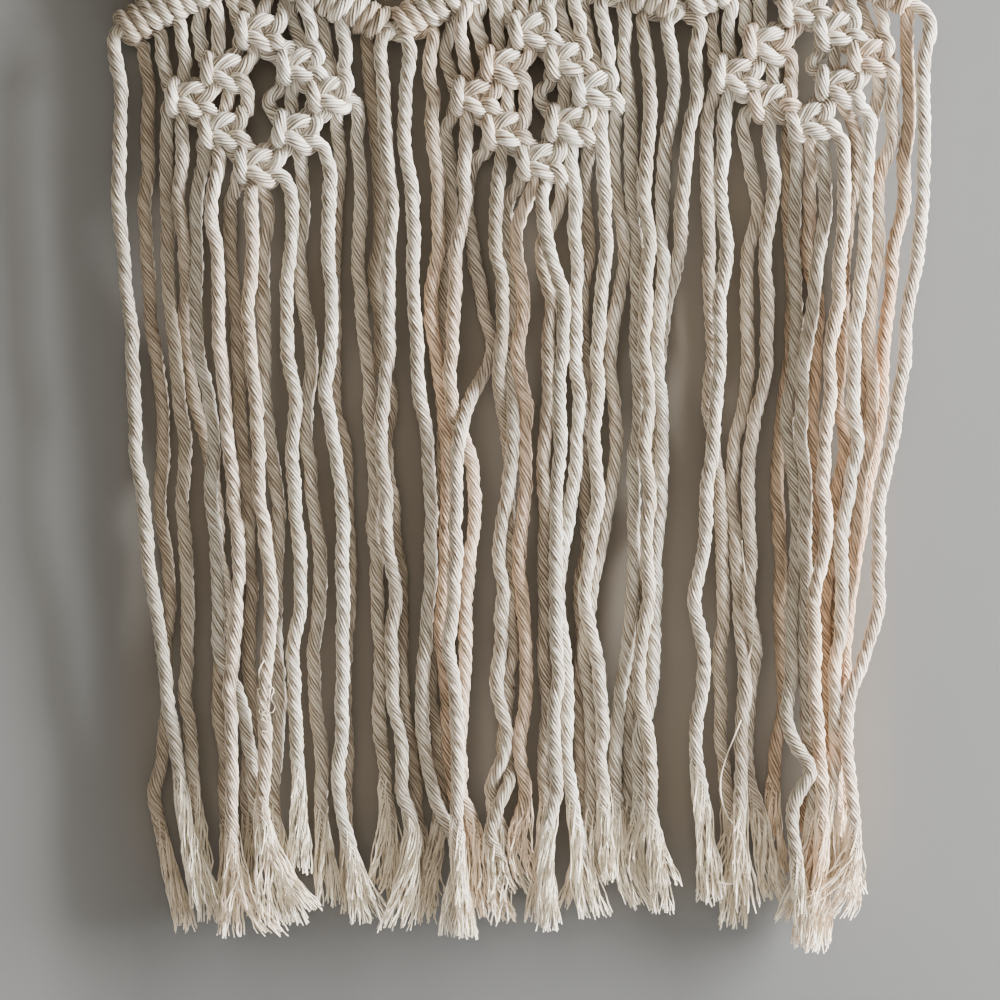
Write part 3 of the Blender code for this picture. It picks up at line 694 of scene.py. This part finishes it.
def close_pairs(points, reach):
    """Pairs of points nearer to each other than reach."""
    cells = np.floor((points - points.min(0)) / reach).astype(np.int64) + 1
    strides = np.array((1 << 40, 1 << 20, 1))
    keys = cells @ strides
    order = np.argsort(keys)
    ordered = keys[order]
    firsts, seconds = [], []
    for offset in itertools.product((-1, 0, 1), repeat=3):
        if offset < (0, 0, 0):
            continue
        wanted = keys + np.dot(offset, strides)
        low = np.searchsorted(ordered, wanted, "left")
        counts = np.searchsorted(ordered, wanted, "right") - low
        first = np.repeat(np.arange(len(points)), counts)
        start = np.repeat(low - np.concatenate(((0,), np.cumsum(counts)[:-1])), counts)
        second = order[start + np.arange(len(first))]
        if offset == (0, 0, 0):
            keep = second > first
            first, second = first[keep], second[keep]
        near = ((points[first] - points[second]) ** 2).sum(1) < reach * reach
        firsts.append(first[near])
        seconds.append(second[near])
    return np.concatenate(firsts), np.concatenate(seconds)


def clear_cords(curves):
    """Push the middle lines apart where two cords would run through each other."""
    owner = np.concatenate([np.full(len(c), i) for i, c in enumerate(curves)])
    along = np.concatenate([np.arange(len(c)) for c in curves])
    rest = np.vstack(curves)
    points = rest.copy()
    ends = np.cumsum([len(c) for c in curves])[:-1]
    hanging = np.clip((KNOTS_FOOT - 4.0 - rest[:, 2]) / 8.0, 0.0, 1.0)[:, None]
    freedom = np.array(KNOT_FREEDOM) * (1 - hanging) + np.array(HANGING_FREEDOM) * hanging
    for turn in range(CLEARING_ROUNDS):
        if turn % ROUNDS_PER_SEARCH == 0:
            first, second = close_pairs(points, CLEARANCE + SEARCH_MARGIN)
            apart = (owner[first] != owner[second]) | (np.abs(along[first] - along[second]) > OWN_REACH)
            first, second = first[apart], second[apart]
        gap = points[first] - points[second]
        distance = np.linalg.norm(gap, axis=1)
        limit = KNOT_CLEARANCE + (CLEARANCE - KNOT_CLEARANCE) * hanging[first, 0]
        hit = distance < limit
        f, s = first[hit], second[hit]
        gap = gap[hit] * (0.5 * freedom[f] + 0.5 * freedom[s])
        size = np.linalg.norm(gap, axis=1, keepdims=True) + 1e-6
        push = gap / size * ((limit - distance)[hit][:, None] * 0.5)
        moved = np.zeros_like(points)
        count = np.zeros(len(points))
        for touched, way in ((f, push), (s, -push)):
            np.add.at(moved, touched, way)
            np.add.at(count, touched, 1.0)
        points = points + moved / np.maximum(count, 1.0)[:, None] * PUSH
        offset = points - rest
        for part in np.split(offset, ends):
            soften(part, 2 if turn < CLEARING_ROUNDS - ROUNDS_PER_SEARCH else 1)
        points = rest + offset * (KNOT_GIVE + HANGING_GIVE * hanging)
    return np.split(points, ends)


def rings_around(curve, angles, radii):
    """Rings of points at these angles and radii from a curve, with no turn of their own."""
    tangents = np.gradient(curve, axis=0)
    tangents /= np.linalg.norm(tangents, axis=1, keepdims=True)
    normals = np.empty_like(curve)
    normals[0] = unit(np.cross(tangents[0], (0.3, 0.5, 0.81)))
    for i in range(1, len(curve)):
        normals[i] = unit(normals[i - 1] - tangents[i] * np.dot(normals[i - 1], tangents[i]))
    sides = np.cross(tangents, normals)
    return (curve[:, None, :] + (np.cos(angles) * radii)[..., None] * normals[:, None, :]
            + (np.sin(angles) * radii)[..., None] * sides[:, None, :])


def ring_places(curve):
    """Places along the curve, close together in knots, and the lengths at which they lie."""
    pieces = np.linalg.norm(np.diff(curve, axis=0), axis=1)
    spacing = np.interp(curve[1:, 2], (KNOTS_FOOT - 11.0, KNOTS_FOOT - 1.0), (HANGING_RINGS, KNOT_RINGS))
    steps = np.concatenate(((0.0,), np.cumsum(pieces / spacing)))
    marks = np.linspace(0.0, steps[-1], int(round(steps[-1])) + 1)
    lengths = lengths_along(curve)
    places = np.interp(marks, steps, lengths)
    return places, points_at(curve, lengths, places)


def twisted_radius(local):
    """Radius of a section of three plies, with grooves at angle 0 and every third of a turn."""
    fold = local % (2 * math.pi / 3) - math.pi / 3
    return PLY_OFFSET * np.cos(fold) + np.sqrt(PLY_RADIUS ** 2 - (PLY_OFFSET * np.sin(fold)) ** 2)


def yarn_heights(distances, chance):
    """How far each ridge of yarn stands out. Every other corner is a crease between two ridges."""
    marks = np.arange(0.0, distances[-1] + 2 * RIDGE_PITCH, RIDGE_PITCH)
    heights = np.full((len(distances), 2 * RIDGES), CREASE_HEIGHT)
    for corner in range(1, 2 * RIDGES, 2):
        heights[:, corner] = np.interp(distances, marks, chance.uniform(*RIDGE_HEIGHTS, len(marks)))
    return heights


def add_object(name, data):
    made = bpy.data.objects.new(name, data)
    bpy.context.scene.collection.objects.link(made)
    return made


class MeshParts:
    """Vertices, faces, face-corner coordinates and tints of one cord, gathered part by part.

    A tint holds warmth, painted shade, a random tone with a painted highlight on knots, and 1 for the cord
    itself or 0 for a single yarn.
    """

    def __init__(self):
        self.points, self.faces, self.corners, self.tints = [], [], [], []
        self.creases, self.smooth = [], []
        self.count = 0

    def add_tube(self, rings, distances, tint, creased=False):
        """A closed tube through rings of points. The coordinates are turns round and mm along."""
        rows, sides = rings.shape[:2]
        self.points.append(rings.reshape(-1, 3))
        self.tints.append(np.repeat(tint, sides, axis=0))
        self.creases.append(np.tile(np.arange(sides) % 2 == 0, rows) & creased)
        self.smooth += [creased] * ((rows - 1) * sides + 2)
        index = self.count + np.arange(rows * sides).reshape(rows, sides).T
        self.count += rows * sides
        beside = np.roll(index, -1, axis=0)
        quads = np.stack((index[:, :-1], index[:, 1:], beside[:, 1:], beside[:, :-1]), axis=-1)
        self.faces += quads.reshape(-1, 4).tolist() + [index[:, 0].tolist(), index[::-1, -1].tolist()]
        spots = np.stack(np.meshgrid(np.arange(sides + 1) / sides, distances, indexing="ij"), axis=-1)
        corners = np.stack((spots[:-1, :-1], spots[:-1, 1:], spots[1:, 1:], spots[1:, :-1]), axis=2)
        self.corners += [corners.reshape(-1, 2), spots[:-1, 0], spots[-2::-1, -1]]

    def build(self, name, material):
        mesh = bpy.data.meshes.new(name)
        mesh.from_pydata((np.vstack(self.points) * MM).tolist(), [], self.faces)
        layer = mesh.uv_layers.new(name="wrap")
        layer.data.foreach_set("uv", np.vstack(self.corners).astype(np.float32).ravel())
        tint = mesh.attributes.new("tint", "FLOAT_COLOR", "POINT")
        tint.data.foreach_set("color", np.vstack(self.tints).astype(np.float32).ravel())
        mesh.polygons.foreach_set("use_smooth", np.array(self.smooth))
        mesh.materials.append(material)
        mesh.validate()
        ends = np.empty(2 * len(mesh.edges), dtype=np.int32)
        mesh.edges.foreach_get("vertices", ends)
        sharp = np.concatenate(self.creases)[ends.reshape(-1, 2)].all(axis=1)
        mesh.attributes.new("sharp_edge", "BOOLEAN", "EDGE").data.foreach_set("value", sharp)
        return add_object(name, mesh)


def add_places(points, spots):
    """Add places read off in steps, in place of any knot points that lie lower than the first."""
    places = [place(*spot) for spot in spots]
    while places and points[-1][2] < places[0][2] + 1.5:
        points.pop()
    points += places


def cord_points(name, layer, xs, order, bars, knots):
    """Every place that one cord's middle line passes through, to where it frays."""
    points = heading_path(name, order) + [tuple(p) for p in bars[name]]
    points += [place(*spot) for spot in ABOVE.get(name, ())]
    for number, way in enumerate(knots.get(name, ()), start=1):
        points += way
        for cord, knot, spots in SLACK:
            if (cord, knot) == (name, number):
                add_places(points, spots)
    add_places(points, BELOW.get(name, ()))
    bends = [(x, row) for row, x in BENDS.get(name, ())]
    for x, row in sorted([*zip(xs, ROWS), *bends], key=lambda spot: spot[1]):
        points.append(place(x, row, cord_layer(name, layer, row)))
    foot = cord_layer(name, layer, ROWS[-1])
    return points + [place(x, row, foot) for x, row in TAILS[name]]


def glow(points):
    """How much warmer the cotton is at some points, from the table of warm patches."""
    x = points[:, 0] / STEP + MIDDLE_STEP
    row = TOP_STEP - points[:, 2] / STEP
    return sum(strength * np.exp(-((x - mx) / wide) ** 2 - ((row - my) / high) ** 2)
               for mx, my, wide, high, strength in GLOWS)


def add_cord_body(parts, curve, aim, chance, warm, painted_shade, knotted):
    """The twisted cord itself. Its last part runs on into the tuft and grows thinner."""
    lead = unit(curve[-1] - curve[-7])
    fall = unit(aim - curve[-1])
    heart = min(FRAY_HEART, 0.4 * np.linalg.norm(aim - curve[-1]))
    steps = np.linspace(0.0, 1.0, 8)[1:, None]
    inner = curve[-1] + heart * steps * (lead * (1 - 0.6 * steps) + fall * 0.6 * steps)
    distances, curve = ring_places(np.vstack((soften(curve.copy(), 1), inner)))
    wrap = distances + chance.uniform(0, 500)
    # The twist is uneven from cord to cord and along each of them.
    lay = LAY * chance.uniform(0.93, 1.07)
    marks = np.arange(0, distances[-1] + 40, 18.0)
    wobble = np.interp(distances, marks, chance.normal(0, 0.10, len(marks)))
    turn = -2 * math.pi * distances / lay + chance.uniform(0, 6.28) + wobble * 3
    # So is the thickness, which dwindles inside the tuft and a little at the heading.
    swell = 1.0 + 0.03 * np.sin(distances / 7.3 + chance.uniform(0, 6)) + 0.02 * np.sin(distances / 2.9 + 1)
    left = distances[-1] - distances
    swell *= np.interp(left, (0.0, heart * 0.5, heart, heart + 3.0), (0.25, 0.55, 0.78, 1.0))
    swell *= np.interp(distances, (0.0, 0.8), (0.9, 1.0))
    local = np.arange(2 * RIDGES) * math.pi / RIDGES + YARN_DRIFT * wrap[:, None]
    radii = (twisted_radius(local) + yarn_heights(distances, chance)) * swell[:, None]
    # Tints: warmth, painted shade, a random tone, and 1 for the cord itself.
    tint = np.tile((warm, painted_shade, chance.uniform(0, 1), 1.0), (len(curve), 1))
    tint[:, 0] *= np.interp(curve[:, 2], [down(row) for row in WARM_ROWS], WARM_SHARES)
    tint[:, 0] += glow(curve)
    # High in the knots the painted shade fades and a painted highlight brightens the cotton.
    if knotted:
        high = np.interp(curve[:, 2], [down(row) for row in KNOT_ROWS], (0.0, 1.0))
        tint[:, 1] *= 1.0 - KNOT_SHADE_CUT * high
        tint[:, 2] += KNOT_PAINTED_HIGHLIGHT * high
    parts.add_tube(rings_around(curve, local + turn[:, None], radii), wrap, tint, creased=True)


def add_tuft(parts, curve, tuft, chance, warm, painted_shade):
    """Yarns that leave the cord's end and spread towards their tips."""
    _, tip_x, tip_row, half_width, scatter, count, slope = tuft
    tip = np.array((across(tip_x), curve[-1][1] * 0.7 - 0.8, down(tip_row)))
    fall = unit(np.array((slope, 0.0, -1.0)))
    clump = chance.uniform(0, 6.28)
    count = int(count * YARN_SHARE)
    for number in range(count):
        share = (number + chance.uniform(0.0, 1.0)) / count * 2 - 1
        share += 0.22 * math.sin(share * 7.0 + clump)
        aim = tip + np.array((share * half_width * STEP, chance.uniform(-2.8, 2.2),
                              chance.uniform(-1, 1) * scatter * STEP * 0.6))
        # It leaves the cord some way before its end and comes down to its tip in one smooth bend.
        leaving = int(chance.uniform(3, 13))
        start = curve[-leaving]
        lead = unit(curve[-leaving + 2] - curve[-leaving - 3])
        span = np.linalg.norm(aim - start)
        t = np.linspace(0.0, 1.0, max(9, int(span / 2.6)))
        s = t[:, None]
        leave = lead * span * chance.uniform(0.9, 1.3)
        arrive = fall + np.array((share * 0.2, 0, 0)) + chance.normal(0, 0.07, 3)
        arrive = arrive * span * chance.uniform(0.5, 1.0)
        path = ((2 * s ** 3 - 3 * s ** 2 + 1) * start + (s ** 3 - 2 * s ** 2 + s) * leave
                + (3 * s ** 2 - 2 * s ** 3) * aim + (s ** 3 - s ** 2) * arrive)
        # Most yarns lie on the outside of the tuft, and every fourth one inside it.
        out = chance.uniform(1.6, 2.05) if number % 4 else chance.uniform(0.4, 1.4)
        side = 1 if number % 2 else -1
        turn = (1 - share) * math.pi / 2 * side + 2 * math.pi * (1 - t) * span / LAY * 0.15
        hold = np.interp(t * span, (0.0, 3.0, 0.4 * span + 5.0, span + 5.1), (0.7, 1.0, 1.0, 0.1)) * out
        path[:, 0] += np.cos(turn) * hold
        path[:, 1] += np.sin(turn) * hold
        # Each yarn keeps a little of its old twist as a wave.
        wave = chance.uniform(0.1, 0.45) * np.interp(t, (0.0, 0.35, 1.0), (0.0, 1.0, 0.8))
        phase = t * span / chance.uniform(6.0, 12.0) * 2 * math.pi + chance.uniform(0, 6.28)
        path[:, 0] += wave * np.sin(phase)
        path[:, 1] += wave * np.cos(phase)
        add_yarn(parts, path, chance.uniform(*YARN_RADII), chance, warm, painted_shade)


def add_yarn(parts, path, radius, chance, warm, painted_shade):
    """One thin yarn, a little thicker at its cut tip."""
    t = np.linspace(0, 1, len(path))
    sizes = radius * (1.0 + 0.12 * np.sin(t * 30 + chance.uniform(0, 6)))
    sizes *= np.interp(t, (0, 0.9, 0.97, 1), (1, 1, 1.4, 0.8))
    angles = np.arange(YARN_SIDES) * 2 * math.pi / YARN_SIDES + t[:, None] * 6
    # Painted shade of this yarn: part of its cord's, with a random share added.
    shade = min(1.0, painted_shade * 0.6 + chance.choice((0.0, 0.15, 0.45)))
    tint = np.tile((warm, shade, chance.uniform(0, 1), 0.0), (len(path), 1))
    tint[:, 0] += glow(path)
    rings = rings_around(path, angles, sizes[:, None])
    parts.add_tube(rings, lengths_along(path) + chance.uniform(0, 500), tint)


def feed(tree, socket, value):
    """Link an output to a socket, or set the socket to a plain value."""
    if isinstance(value, bpy.types.NodeSocket):
        tree.links.new(value, socket)
    else:
        socket.default_value = value


def add_node(tree, kind, sockets=(), **settings):
    """A shader node, with what feeds its sockets given by their names or numbers."""
    made = tree.nodes.new("ShaderNode" + kind)
    for setting, value in settings.items():
        setattr(made, setting, value)
    for socket, value in dict(sockets).items():
        feed(tree, made.inputs[socket], value)
    return made


def calculate(tree, operation, *values):
    return add_node(tree, "Math", enumerate(values), operation=operation).outputs[0]


def product(tree, *values):
    total = values[0]
    for value in values[1:]:
        total = calculate(tree, "MULTIPLY", total, value)
    return total


def mix_colours(tree, share, first, second):
    return add_node(tree, "Mix", {0: share, 6: first, 7: second}, data_type="RGBA").outputs[2]


def ramp(tree, value, low, high, first, last):
    """The value taken from between low and high to between first and last."""
    return add_node(tree, "MapRange", enumerate((value, low, high, first, last))).outputs[0]


def fibres(tree, wrap, turns, stretch, detail):
    """Noise on a cylinder: this many cells round, stretched along the yarns."""
    angle = product(tree, wrap.outputs[0], 2 * math.pi)
    radius = turns / (2 * math.pi)
    spot = add_node(tree, "CombineXYZ", {0: product(tree, calculate(tree, "COSINE", angle), radius),
                                         1: product(tree, calculate(tree, "SINE", angle), radius),
                                         2: product(tree, wrap.outputs[1], stretch)})
    noise = add_node(tree, "TexNoise", {"Vector": spot.outputs[0], "Scale": 1.0, "Detail": detail,
                                        "Roughness": 0.55})
    return noise.outputs["Fac"]


def cotton_material():
    """Undyed cotton: fibres that follow the yarns, painted shade in the ply grooves and in the creases
    between yarns, warm tints, painted shade on cords further back and a painted highlight high on knotted
    cords.
    """
    material = bpy.data.materials.new("twisted_cotton")
    material.use_nodes = True
    tree = material.node_tree
    shader = tree.nodes["Principled BSDF"]
    coordinates = add_node(tree, "UVMap", uv_map="wrap")
    wrap = add_node(tree, "SeparateXYZ", {0: coordinates.outputs[0]})
    tint = add_node(tree, "VertexColor", layer_name="tint")
    tints = add_node(tree, "SeparateColor", {0: tint.outputs[0]})
    warmth, painted_shade_share, tone_and_highlight = tints.outputs[:3]
    body = tint.outputs[1]

    streaks = fibres(tree, wrap, 15.0, 0.13, 1.0)
    fine = fibres(tree, wrap, 60.0, 0.35, 1.0)
    patches = fibres(tree, wrap, 3.0, 0.06, 2.0)
    angle = product(tree, wrap.outputs[0], 2 * math.pi)
    turned = calculate(tree, "ADD", angle, product(tree, wrap.outputs[1], YARN_DRIFT))
    # Masks of the ply grooves and of the creases between yarns, where shade is painted
    plies = ramp(tree, calculate(tree, "COSINE", product(tree, turned, 3.0)), 0.6, 1.0, 0.0, 1.0)
    waves = calculate(tree, "COSINE", product(tree, angle, float(RIDGES)))
    creases = ramp(tree, waves, -0.75, 0.7, 0.0, 1.0)
    shown = ramp(tree, streaks, 0.42, 0.66, 1.0, 0.35)
    streaky = ramp(tree, streaks, 0.38, 0.46, 0.55, 0.0)

    cream = mix_colours(tree, tone_and_highlight, DULL_CREAM, BRIGHT_CREAM)
    mottled = mix_colours(tree, ramp(tree, patches, 0.45, 0.7, 0.0, 0.5), cream, MOTTLE)
    warm = mix_colours(tree, warmth, mottled, PEACH)
    # Painted shade, strongest on cords further back.
    painted_shade = mix_colours(tree, painted_shade_share, warm, PAINTED_SHADE_COLOUR)
    frayed = mix_colours(tree, body, mix_colours(tree, 0.4, painted_shade, LOOSE), painted_shade)
    streaked = mix_colours(tree, product(tree, streaky, body), frayed, STREAK)
    # Painted shade in the creases between yarns.
    crease_shaded = mix_colours(tree, product(tree, creases, shown, body, 0.95), streaked, PAINTED_CREASE_COLOUR)
    # Painted shade in the ply grooves.
    groove_shaded = mix_colours(tree, product(tree, plies, body, 0.55), crease_shaded, PAINTED_GROOVE_COLOUR)
    relief = calculate(tree, "ADD", product(tree, streaks, 1.4), product(tree, fine, 0.5))
    relief = product(tree, relief, body)
    bump = add_node(tree, "Bump", {"Strength": 1.0, "Distance": BUMP_DEPTH, "Height": relief})
    for socket, value in (("Base Color", groove_shaded), ("Normal", bump.outputs[0]), ("Roughness", 0.9),
                          ("Specular IOR Level", 0.2), ("Sheen Weight", 0.12),
                          ("Sheen Roughness", 0.5), ("Sheen Tint", (1.0, 0.95, 0.88, 1))):
        feed(tree, shader.inputs[socket], value)
    return material


def plain_material(name, colour, roughness):
    material = bpy.data.materials.new(name)
    material.use_nodes = True
    shader = material.node_tree.nodes["Principled BSDF"]
    shader.inputs["Base Color"].default_value = colour
    shader.inputs["Roughness"].default_value = roughness
    return material


def build_cords(material):
    order = heading_order()
    bars = bar_paths()
    knots = knot_paths()
    curves = []
    for index, (name, layer, _, _, *xs) in enumerate(CORDS):
        curve = smooth_curve(cord_points(name, layer, xs, order, bars, knots))
        curves.append(sway(evenly_spaced(curve), np.random.default_rng(SWAY_SEED + index)))
    curves = [as_seen(curve) for curve in clear_cords(curves)]
    for index, (name, layer, warm, painted_shade, *_) in enumerate(CORDS):
        chance = np.random.default_rng(YARN_SEED + index)
        parts = MeshParts()
        curve = curves[index]
        tufts = [tuft for tuft in TUFTS if tuft[0] == name]
        aim = np.mean([(across(tuft[1]), curve[-1][1], down(tuft[2])) for tuft in tufts], axis=0)
        # Painted shade: cords further back are painted darker.
        painted_shade = min(1.0, painted_shade + LAYER_PAINTED_SHADE * max(0.0, layer - FIRST_SHADED_LAYER))
        warm = max(0.0, 1.6 * warm - 0.08)
        add_cord_body(parts, curve, aim, chance, warm, painted_shade, name in knots)
        for tuft in tufts:
            add_tuft(parts, curve, tuft, chance, warm, painted_shade)
        for cord, yarn_layer, spots in LOOSE_YARNS:
            if cord == name:
                path = smooth_curve([place(x, row, yarn_layer) for x, row in spots])
                add_yarn(parts, as_seen(evenly_spaced(path)), LOOSE_RADIUS, chance, warm, painted_shade)
        piece = parts.build("cord_" + name, material)
        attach(piece, "root")
        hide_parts("macrame")


def add_stage_mesh(name, points, faces, material):
    """A floor or backdrop, which is no part of the object."""
    mesh = bpy.data.meshes.new(name)
    mesh.from_pydata(points, [], faces)
    mesh.materials.append(material)
    add_object(name, mesh)
    return mesh


def backdrop_material():
    """The wall's colour from the mesh, with its painted shadow and painted light, seen from the front alone.
    """
    material = plain_material("pale_backdrop", (*BACK_COLOUR, 1), 0.9)
    tree = material.node_tree
    shader = tree.nodes["Principled BSDF"]
    feed(tree, shader.inputs["Base Color"], add_node(tree, "VertexColor", layer_name="shade").outputs[0])
    behind = add_node(tree, "NewGeometry").outputs["Backfacing"]
    clear = add_node(tree, "BsdfTransparent").outputs[0]
    mix = add_node(tree, "MixShader", {0: behind, 1: shader.outputs[0], 2: clear})
    feed(tree, tree.nodes["Material Output"].inputs[0], mix.outputs[0])
    return material


def add_backdrop():
    """The wall, as a grid with a warm painted shadow behind the hanging and painted light to its left."""
    wide, up = np.meshgrid(np.linspace(-BACK_REACH, BACK_REACH, BACK_COLUMNS),
                           np.linspace(FLOOR_Z, BACK_TOP, BACK_ROWS))
    points = np.stack([wide.ravel(), np.full(wide.size, BACK_Y), up.ravel()], axis=1)
    faces = [(i, i + 1, i + BACK_COLUMNS + 1, i + BACK_COLUMNS) for row in range(BACK_ROWS - 1)
             for i in range(row * BACK_COLUMNS, (row + 1) * BACK_COLUMNS - 1)]
    mesh = add_stage_mesh("backdrop", points.tolist(), faces, backdrop_material())
    x, z = points[:, 0:1], points[:, 2:3]
    # A warm painted shadow behind the hanging.
    behind = np.interp(x, (-0.118, -0.098, 0.085, 0.108), (0, 1, 1, 0))
    behind = behind * np.interp(z, (-0.29, -0.255), (0, 1))
    # Painted light: the wall is paler to the left of the hanging.
    left = np.interp(x, (-0.135, -0.105), (1.65, 1.09))
    painted_wall_shades = np.array(BACK_COLOUR) * left * (1 - behind) + np.array(PAINTED_WALL_SHADOW) * behind
    painted_wall_shades = np.hstack((painted_wall_shades, np.ones((len(points), 1)))).astype(np.float32)
    mesh.attributes.new("shade", "FLOAT_COLOR", "POINT").data.foreach_set("color", painted_wall_shades.ravel())


def add_floor():
    corners = [(x * FLOOR_REACH, y * FLOOR_REACH, FLOOR_Z) for x, y in ((-1, -1), (1, -1), (1, 1), (-1, 1))]
    add_stage_mesh("floor", corners, [(0, 1, 2, 3)], plain_material("pale_floor", FLOOR_COLOUR, 0.8))


def add_lights():
    for name, spot, target, size, power, colour in LIGHTS:
        data = bpy.data.lights.new(name, "AREA")
        data.shape = "RECTANGLE"
        data.size, data.size_y = size
        data.energy = power
        data.color = colour
        lamp = add_object(name, data)
        lamp.location = spot
        lamp.rotation_euler = (Vector(target) - Vector(spot)).to_track_quat("-Z", "Y").to_euler()
    world = bpy.data.worlds.new("studio")
    world.use_nodes = True
    background = world.node_tree.nodes["Background"]
    background.inputs[0].default_value = WORLD_COLOUR
    background.inputs[1].default_value = WORLD_STRENGTH
    bpy.context.scene.world = world


def add_camera():
    """The photo's view: straight at the front, one step to a pixel."""
    data = bpy.data.cameras.new("camera")
    data.sensor_width = SENSOR
    data.lens = SENSOR * CAMERA_DISTANCE / (VIEW_STEPS * STEP)
    data.clip_start = 0.01
    camera = add_object("camera", data)
    camera.location = (across(VIEW_STEPS / 2) * MM, -CAMERA_DISTANCE * MM, down(VIEW_STEPS / 2) * MM)
    camera.rotation_euler = (math.pi / 2, 0, 0)
    bpy.context.scene.camera = camera


build_cords(cotton_material())
add_backdrop()
add_floor()
add_lights()
add_camera()
